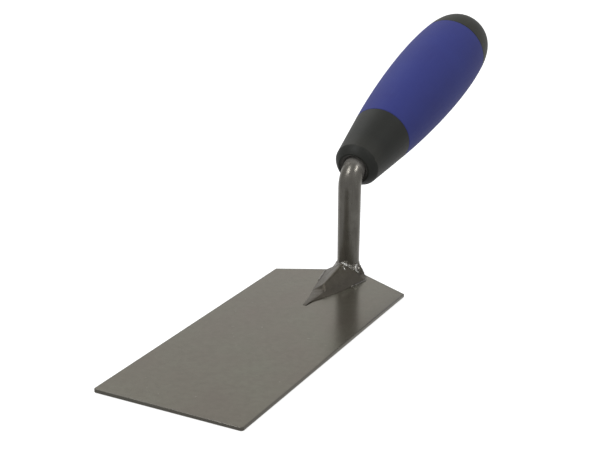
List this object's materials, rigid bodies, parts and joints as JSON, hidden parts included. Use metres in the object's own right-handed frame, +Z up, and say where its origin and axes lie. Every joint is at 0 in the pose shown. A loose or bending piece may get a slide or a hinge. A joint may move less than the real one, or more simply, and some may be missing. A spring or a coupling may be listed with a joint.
{
  "type": "margin trowel",
  "caption": "Flat rectangular steel blade with a pointed heel, welded by a forged spur foot to a cranked round shank in a soft-grip handle.",
  "frame": {"origin": "on the underside of the blade, where the axis of the upright shank meets it, close to the heel", "axes": "+Z up, from the blade to the handle; +Y from the toe of the blade towards the handle's tail; +X across the blade"},
  "size_m": [0.06, 0.2698, 0.0941],
  "materials": {
    "blade_steel": "rolled and lightly brushed carbon steel, lacquered",
    "forged_steel": "ground and polished carbon steel with darker forged hollows",
    "weld_metal": "rippled bright weld bead",
    "core_plastic": "moulded black plastic",
    "black_grip": "matt black soft-touch moulding",
    "blue_grip": "matt blue soft-touch moulding"
  },
  "bodies": {
    "root": {"blade": "blade_steel", "tang_foot": "forged_steel", "foot_weld_seams": "weld_metal", "shank": "forged_steel", "shank_weld_ring": "weld_metal", "handle_core": "core_plastic", "nose_collar": "black_grip", "grip_sleeve": "blue_grip", "end_cap": "black_grip"}
  },
  "joints": []
}
